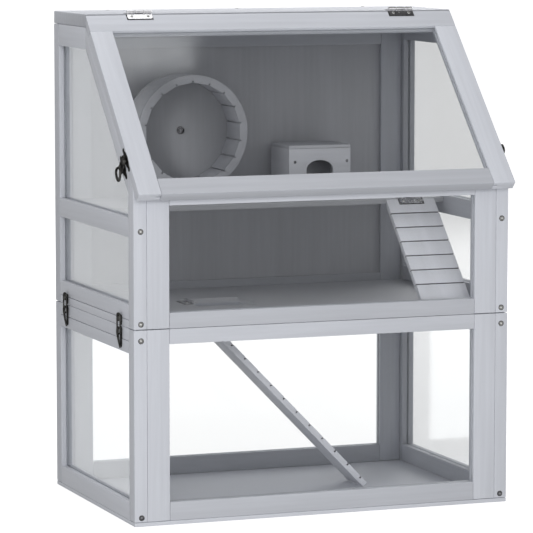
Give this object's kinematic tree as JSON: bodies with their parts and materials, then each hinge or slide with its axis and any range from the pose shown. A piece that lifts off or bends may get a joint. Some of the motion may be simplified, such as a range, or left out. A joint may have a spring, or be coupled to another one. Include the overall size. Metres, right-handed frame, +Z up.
{
  "type": "hamster cage",
  "caption": "Two-storey painted timber small-animal cage with clear windows, a sloping hinged lid, a running wheel, a hide house, ramps and toggle latches.",
  "frame": {"origin": "middle of the footprint, lid lip included, at the underside of the base board", "axes": "+Z up, -Y towards the front, +X to the right seen from the front"},
  "size_m": [0.6152, 0.4138, 0.7511],
  "materials": {
    "painted_timber": "satin light grey paint on pine",
    "painted_board": "satin grey paint on board",
    "painted_fittings": "satin grey paint",
    "acrylic": "clear gloss sheet",
    "hinge_metal": "bright nickel",
    "latch_metal": "dark antique metal"
  },
  "bodies": {
    "lower_unit": {"base_board": "painted_timber", "lower_back_frame": "painted_timber", "lower_back_pane": "acrylic", "lower_front_frame": "painted_timber", "lower_front_pane": "acrylic", "lower_left_frame": "painted_timber", "lower_left_pane": "acrylic", "lower_right_frame": "painted_timber", "lower_right_pane": "acrylic"},
    "upper_unit": {"back_board": "painted_board", "floor_ramp_hinge_fixed_leaf": "hinge_metal", "lid_hinge_left_fixed_leaf": "hinge_metal", "lid_hinge_right_fixed_leaf": "hinge_metal", "roof_board": "painted_timber", "seam_latch_left_back_keeper": "latch_metal", "seam_latch_left_front_keeper": "latch_metal", "seam_latch_right_back_keeper": "latch_metal", "seam_latch_right_front_keeper": "latch_metal", "shelf": "painted_board", "shelf_ramp_hinge_fixed_leaf": "hinge_metal", "upper_back_frame": "painted_timber", "upper_floor": "painted_board", "upper_front_frame": "painted_timber", "upper_front_pane": "acrylic", "upper_left_frame": "painted_timber", "upper_left_high_pane": "acrylic", "upper_left_middle_pane": "acrylic", "upper_right_frame": "painted_timber", "upper_right_high_pane": "acrylic", "upper_right_middle_pane": "acrylic", "wheel_axle": "hinge_metal"},
    "lid": {"lid_frame": "painted_timber", "lid_hinge_left_moving_leaf": "hinge_metal", "lid_hinge_right_moving_leaf": "hinge_metal", "lid_latch_left_keeper": "latch_metal", "lid_latch_right_keeper": "latch_metal", "lid_pane": "acrylic"},
    "wheel": {"wheel_disc": "painted_board", "wheel_ring": "painted_board", "wheel_slats": "painted_board"},
    "house": {"house_front": "painted_fittings", "house_roof": "painted_fittings", "house_walls": "painted_fittings"},
    "shelf_ramp": {"shelf_ramp": "painted_fittings", "shelf_ramp_hinge_moving_leaf": "hinge_metal"},
    "floor_ramp": {"floor_ramp": "painted_fittings", "floor_ramp_hinge_moving_leaf": "hinge_metal"},
    "lid_latch_left_lever": {"lid_latch_left_lever": "latch_metal"},
    "lid_latch_left_loop": {"lid_latch_left_loop": "latch_metal"},
    "lid_latch_right_lever": {"lid_latch_right_lever": "latch_metal"},
    "lid_latch_right_loop": {"lid_latch_right_loop": "latch_metal"},
    "seam_latch_left_back_lever": {"seam_latch_left_back_lever": "latch_metal"},
    "seam_latch_left_back_loop": {"seam_latch_left_back_loop": "latch_metal"},
    "seam_latch_left_front_lever": {"seam_latch_left_front_lever": "latch_metal"},
    "seam_latch_left_front_loop": {"seam_latch_left_front_loop": "latch_metal"},
    "seam_latch_right_back_lever": {"seam_latch_right_back_lever": "latch_metal"},
    "seam_latch_right_back_loop": {"seam_latch_right_back_loop": "latch_metal"},
    "seam_latch_right_front_lever": {"seam_latch_right_front_lever": "latch_metal"},
    "seam_latch_right_front_loop": {"seam_latch_right_front_loop": "latch_metal"}
  },
  "joints": [
    {"name": "upper_unit_lift", "type": "slide", "parent": "lower_unit", "child": "upper_unit", "axis": [0, 0, 1], "range_m": [0, 0.3]},
    {"name": "lid_hinge", "type": "hinge", "parent": "upper_unit", "child": "lid", "pos_m": [0, 0.04438, 0.7487], "axis": [-1, 0, 0], "range_deg": [0, 222]},
    {"name": "wheel_spin", "type": "hinge", "parent": "upper_unit", "child": "wheel", "pos_m": [-0.104, 0.145, 0.557], "axis": [0, 1, 0], "continuous": true},
    {"name": "shelf_ramp_hinge", "type": "hinge", "parent": "upper_unit", "child": "shelf_ramp", "pos_m": [0.2225, 0.0177, 0.4557], "axis": [-1, 0, 0], "range_deg": [0, 18]},
    {"name": "floor_ramp_hinge", "type": "hinge", "parent": "upper_unit", "child": "floor_ramp", "pos_m": [-0.1457, 0.015, 0.3067], "axis": [0, -1, 0], "range_deg": [0, 38]},
    {"name": "house_lift", "type": "slide", "parent": "upper_unit", "child": "house", "axis": [0, 0, 1], "range_m": [0, 0.12]},
    {"name": "seam_latch_left_back_lever_hinge", "type": "hinge", "parent": "lower_unit", "child": "seam_latch_left_back_lever", "pos_m": [-0.3042, 0.145, 0.289], "axis": [0, 1, 0], "range_deg": [0, 150]},
    {"name": "seam_latch_left_back_loop_hinge", "type": "hinge", "parent": "seam_latch_left_back_lever", "child": "seam_latch_left_back_loop", "pos_m": [-0.3042, 0.145, 0.281], "axis": [0, 1, 0], "range_deg": [-150, 0]},
    {"name": "seam_latch_left_front_lever_hinge", "type": "hinge", "parent": "lower_unit", "child": "seam_latch_left_front_lever", "pos_m": [-0.3042, -0.1215, 0.289], "axis": [0, 1, 0], "range_deg": [0, 150]},
    {"name": "seam_latch_left_front_loop_hinge", "type": "hinge", "parent": "seam_latch_left_front_lever", "child": "seam_latch_left_front_loop", "pos_m": [-0.3042, -0.1215, 0.281], "axis": [0, 1, 0], "range_deg": [-150, 0]},
    {"name": "lid_latch_left_lever_hinge", "type": "hinge", "parent": "upper_unit", "child": "lid_latch_left_lever", "pos_m": [-0.3042, -0.13697, 0.52747], "axis": [0, 0.7071, 0.7071], "range_deg": [0, 150]},
    {"name": "lid_latch_left_loop_hinge", "type": "hinge", "parent": "lid_latch_left_lever", "child": "lid_latch_left_loop", "pos_m": [-0.3042, -0.13343, 0.52394], "axis": [0, 0.7071, 0.7071], "range_deg": [-150, 0]},
    {"name": "seam_latch_right_back_lever_hinge", "type": "hinge", "parent": "lower_unit", "child": "seam_latch_right_back_lever", "pos_m": [0.3042, 0.145, 0.289], "axis": [0, -1, 0], "range_deg": [0, 150]},
    {"name": "seam_latch_right_back_loop_hinge", "type": "hinge", "parent": "seam_latch_right_back_lever", "child": "seam_latch_right_back_loop", "pos_m": [0.3042, 0.145, 0.281], "axis": [0, -1, 0], "range_deg": [-150, 0]},
    {"name": "seam_latch_right_front_lever_hinge", "type": "hinge", "parent": "lower_unit", "child": "seam_latch_right_front_lever", "pos_m": [0.3042, -0.1215, 0.289], "axis": [0, -1, 0], "range_deg": [0, 150]},
    {"name": "seam_latch_right_front_loop_hinge", "type": "hinge", "parent": "seam_latch_right_front_lever", "child": "seam_latch_right_front_loop", "pos_m": [0.3042, -0.1215, 0.281], "axis": [0, -1, 0], "range_deg": [-150, 0]},
    {"name": "lid_latch_right_lever_hinge", "type": "hinge", "parent": "upper_unit", "child": "lid_latch_right_lever", "pos_m": [0.3042, -0.13697, 0.52747], "axis": [0, -0.7071, -0.7071], "range_deg": [0, 150]},
    {"name": "lid_latch_right_loop_hinge", "type": "hinge", "parent": "lid_latch_right_lever", "child": "lid_latch_right_loop", "pos_m": [0.3042, -0.13343, 0.52394], "axis": [0, -0.7071, -0.7071], "range_deg": [-150, 0]}
  ],
  "couplings": [
    {"joint": "seam_latch_left_back_loop_hinge", "follows": "seam_latch_left_back_lever_hinge", "ratio": -1},
    {"joint": "seam_latch_left_front_loop_hinge", "follows": "seam_latch_left_front_lever_hinge", "ratio": -1},
    {"joint": "lid_latch_left_loop_hinge", "follows": "lid_latch_left_lever_hinge", "ratio": -1},
    {"joint": "seam_latch_right_back_loop_hinge", "follows": "seam_latch_right_back_lever_hinge", "ratio": -1},
    {"joint": "seam_latch_right_front_loop_hinge", "follows": "seam_latch_right_front_lever_hinge", "ratio": -1},
    {"joint": "lid_latch_right_loop_hinge", "follows": "lid_latch_right_lever_hinge", "ratio": -1}
  ]
}
